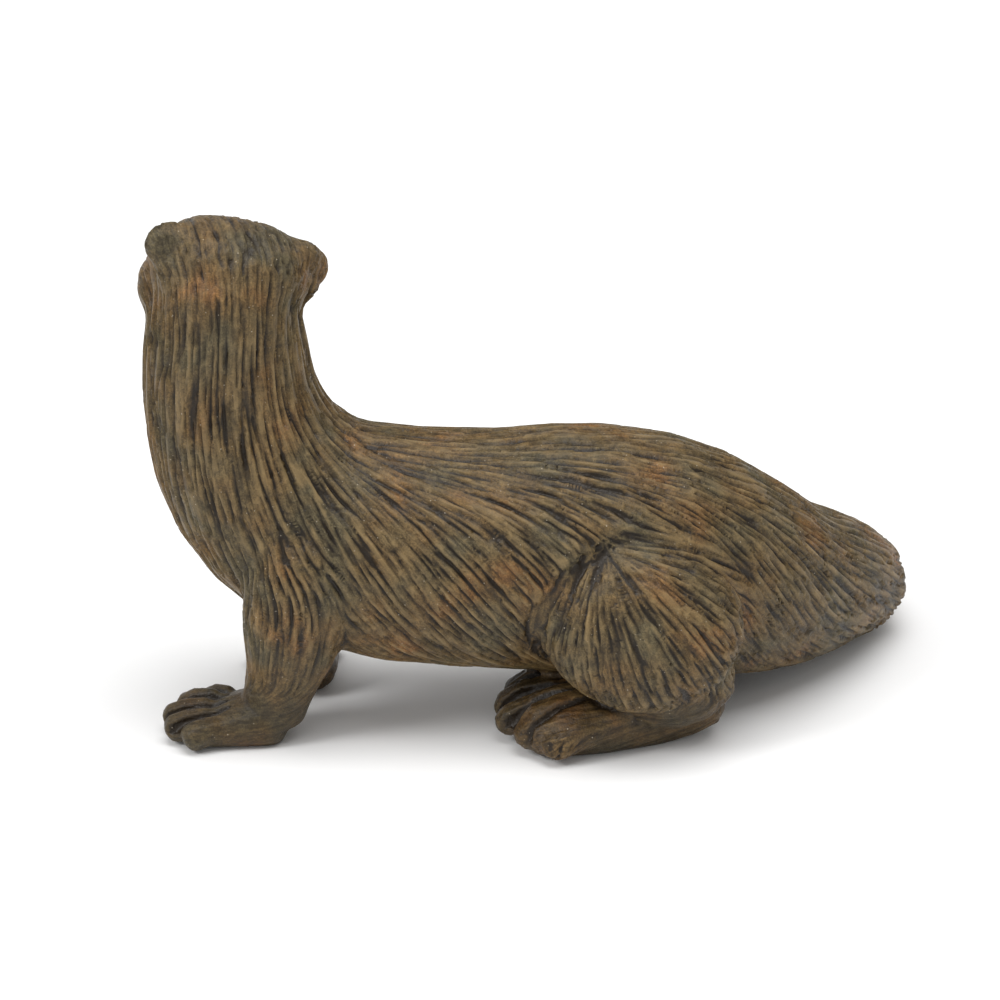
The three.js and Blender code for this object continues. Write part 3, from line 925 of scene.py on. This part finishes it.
def new_paint(name, base, roughness):
    """A material whose shader has one colour and roughness to start with."""
    made = bpy.data.materials.new(name)
    made.use_nodes = True
    shader = made.node_tree.nodes["Principled BSDF"]
    shader.inputs["Base Color"].default_value = colour(base)
    shader.inputs["Roughness"].default_value = roughness
    shader.inputs["IOR"].default_value = VINYL_IOR
    return made, made.node_tree, shader


vinyl, tree, shader = new_paint("painted_soft_vinyl", "#5b4a33", 0.5)
shader.inputs["Specular IOR Level"].default_value = 0.3
where = add(tree, "TexCoord").outputs["Object"]
wash_and_shade_value = add(tree, "Attribute", {"attribute_name": "wash"}).outputs["Fac"]
hair_map = add(tree, "UVMap", {"uv_map": "HairMap"}).outputs["UV"]
hair_scale = (1 / HAIR_PITCH, 1 / HAIR_REACH, 1)
hair_place = add(tree, "VectorMath", {"operation": "MULTIPLY"}, {0: hair_map, 1: hair_scale})
patches = add(tree, "TexNoise", links={"Vector": where, "Scale": 1 / PATCH_SIZE, "Detail": 2.0})
mottle = add(
    tree, "TexNoise",
    links={"Vector": where, "Scale": 1 / MOTTLE_SIZE, "Detail": 4.5, "Roughness": 0.7},
)
grit = add(tree, "TexNoise", links={"Vector": where, "Scale": 1 / GRIT_SIZE, "Detail": 1.0})
hairs = add(
    tree, "TexNoise", {"noise_dimensions": "2D"},
    {"Vector": hair_place.outputs[0], "Scale": 1.0, "Detail": 1.0},
)
tint = add(tree, "ValToRGB", links={"Fac": patches.outputs["Fac"]})
STOPS = {0.34: "#4e4530", 0.48: "#57472c", 0.6: "#5e492b", 0.72: "#6d4d2a"}
elements = tint.color_ramp.elements
for index, (position, code) in enumerate(STOPS.items()):
    stop = elements[index] if index < 2 else elements.new(position)
    stop.position = position
    stop.color = colour(code)
shades = []
for noise, spread in ((mottle, 0.4), (hairs, 0.3), (grit, 0.28)):  # each lightens and darkens
    limits = {"Value": noise.outputs["Fac"], 1: 0.3, 2: 0.7, 3: 1 - spread, 4: 1 + spread}
    shades.append(add(tree, "MapRange", links=limits).outputs[0])
streaked = add(tree, "Math", {"operation": "MULTIPLY"}, {0: shades[0], 1: shades[1]})
shade = add(tree, "Math", {"operation": "MULTIPLY"}, {0: streaked.outputs[0], 1: shades[2]})
body_coat = add(
    tree, "Mix", {"data_type": "RGBA", "blend_type": "MULTIPLY"},
    {0: 1.0, 6: tint.outputs["Color"], 7: shade.outputs[0]},
)
brushed_share = add(tree, "MapRange", links={"Value": wash_and_shade_value, 1: -0.3, 2: -1.7, 4: BRUSHED_MOST})
brushed = add(
    tree, "Mix", {"data_type": "RGBA"},
    {0: brushed_share.outputs[0], 6: body_coat.outputs[2], 7: colour("#8c7650")},
)
# The near-black goes into the grooves, clefts, creases and hollows: partly the real wash, partly painted shade
wash_and_shade_share = add(tree, "MapRange", links={"Value": wash_and_shade_value, 1: 0.0, 2: 1.05, 4: WASH_AND_SHADE_MOST})
washed_and_shaded = add(
    tree, "Mix", {"data_type": "RGBA"},
    {0: wash_and_shade_share.outputs[0], 6: brushed.outputs[2], 7: colour("#1c140b")},
)
specks = add(tree, "TexVoronoi", links={"Vector": where, "Scale": 1 / SPECK_GAP})
speck_share = add(
    tree, "MapRange",
    links={
        "Value": specks.outputs["Distance"],
        1: SPECK_SIZE,
        2: SPECK_SIZE * 0.4,
        4: SPECK_MOST,
    },
)
speck_place = add(tree, "MapRange", links={"Value": specks.outputs["Color"], 1: 0.5, 2: 0.9})
speck_mix = add(
    tree, "Math", {"operation": "MULTIPLY"}, {0: speck_share.outputs[0], 1: speck_place.outputs[0]}
)
dusted = add(
    tree, "Mix", {"data_type": "RGBA"},
    {0: speck_mix.outputs[0], 6: washed_and_shaded.outputs[2], 7: colour("#b9ad98")},
)
tree.links.new(dusted.outputs[2], shader.inputs["Base Color"])
rough = add(
    tree, "MapRange", links={"Value": wash_and_shade_value, 3: DRY_ROUGHNESS, 4: WASH_ROUGHNESS}
)
tree.links.new(rough.outputs[0], shader.inputs["Roughness"])
ridges = add(
    tree, "Math", {"operation": "MULTIPLY_ADD"},
    {0: hairs.outputs["Fac"], 1: 0.7, 2: mottle.outputs["Fac"]},
)
height = add(tree, "Math", {"operation": "ADD"}, {0: ridges.outputs[0], 1: grit.outputs["Fac"]})
bump = add(tree, "Bump", links={"Height": height.outputs[0], "Strength": 0.7, "Distance": 0.1 * MM})
tree.links.new(bump.outputs["Normal"], shader.inputs["Normal"])
skin.materials.append(vinyl)
print("paint nodes:", len(tree.nodes))

# %% [markdown]
# ## Eyes and nose
#
# On the casting the eyes are plain round beads under gloss black paint, and the nose is a
# broad pad with two comma-shaped nostrils, a groove below them, and a duller near-black paint.
# Both start as a ball. The nostrils and the groove are pressed in point by point.

# %% Eyes
eye_paint, _, eye_shader = new_paint("gloss_black_paint", "#0d0b0a", 0.08)
eye_shader.inputs["Coat Weight"].default_value = 0.6
for side, place in eyes.items():
    ball = bmesh.new()
    bmesh.ops.create_uvsphere(ball, u_segments=48, v_segments=32, radius=EYE_RADIUS)
    bmesh.ops.translate(ball, vec=Vector(place), verts=ball.verts)
    eye = finished(f"eyeball_{side}", ball, eye_paint)
    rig.ride(eye, "root")
    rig.replaces(eye, f"eye_{side}")
    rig.slot(eye, "eye_paint")

# %% Nose
NOSE_HALF = np.array((1.4, 2.3, 1.4))  # mm
PORE_SIZE = 0.25 * MM
PORE_DEPTH = 0.05 * MM
nose_paint, nose_tree, nose_shader = new_paint("satin_black_brown_paint", "#2b2420", 0.38)
pad = bmesh.new()
bmesh.ops.create_icosphere(pad, subdivisions=6, radius=1)
shape = np.array([vertex.co for vertex in pad.verts])
press = 0.5 * dent(apart_from_line(shape, (0.8, 0.42, 0.12), (0.5, 0.86, -0.2)), 0.17)
press += 0.5 * dent(apart_from_line(shape, (0.8, -0.42, 0.12), (0.5, -0.86, -0.2)), 0.17)
press += 0.2 * dent(apart_from_line(shape, (1.0, 0, 0.1), (0.5, 0, -0.9)), 0.12)
shape = shape * (1 - press)[:, None] * NOSE_HALF
for vertex, place in zip(pad.verts, shape):
    vertex.co = head_frame.to_3x3() @ Vector(place) + Vector(nose_tip)
nose_pad = finished("nose_pad", pad, nose_paint)
on_nose = add(nose_tree, "TexCoord").outputs["Object"]
pores = add(nose_tree, "TexVoronoi", links={"Vector": on_nose, "Scale": 1 / PORE_SIZE})
pore_bump = add(
    nose_tree, "Bump",
    links={"Height": pores.outputs["Distance"], "Strength": 0.4, "Distance": PORE_DEPTH},
)
nose_tree.links.new(pore_bump.outputs["Normal"], nose_shader.inputs["Normal"])
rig.ride(nose_pad, "root")
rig.replaces(nose_pad, "nose")
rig.slot(nose_pad, "nose_paint")

# %% [markdown]
# ## Tie the skin to the frame
#
# The skin stands for every piece of flesh in the frame. Both boxes are written down, so that
# the finished figure can be compared with the frame it was built around.

# %% Finish
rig.ride(otter, "root")
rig.replaces(otter, *FLESH)
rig.slot(otter, "painted_vinyl")

with open("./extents.json", "w") as file:
    boxes = {"cad": cad_box, "visual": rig.bounds()}
    json.dump({name: [list(corner) for corner in box] for name, box in boxes.items()}, file)
print(open("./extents.json").read())
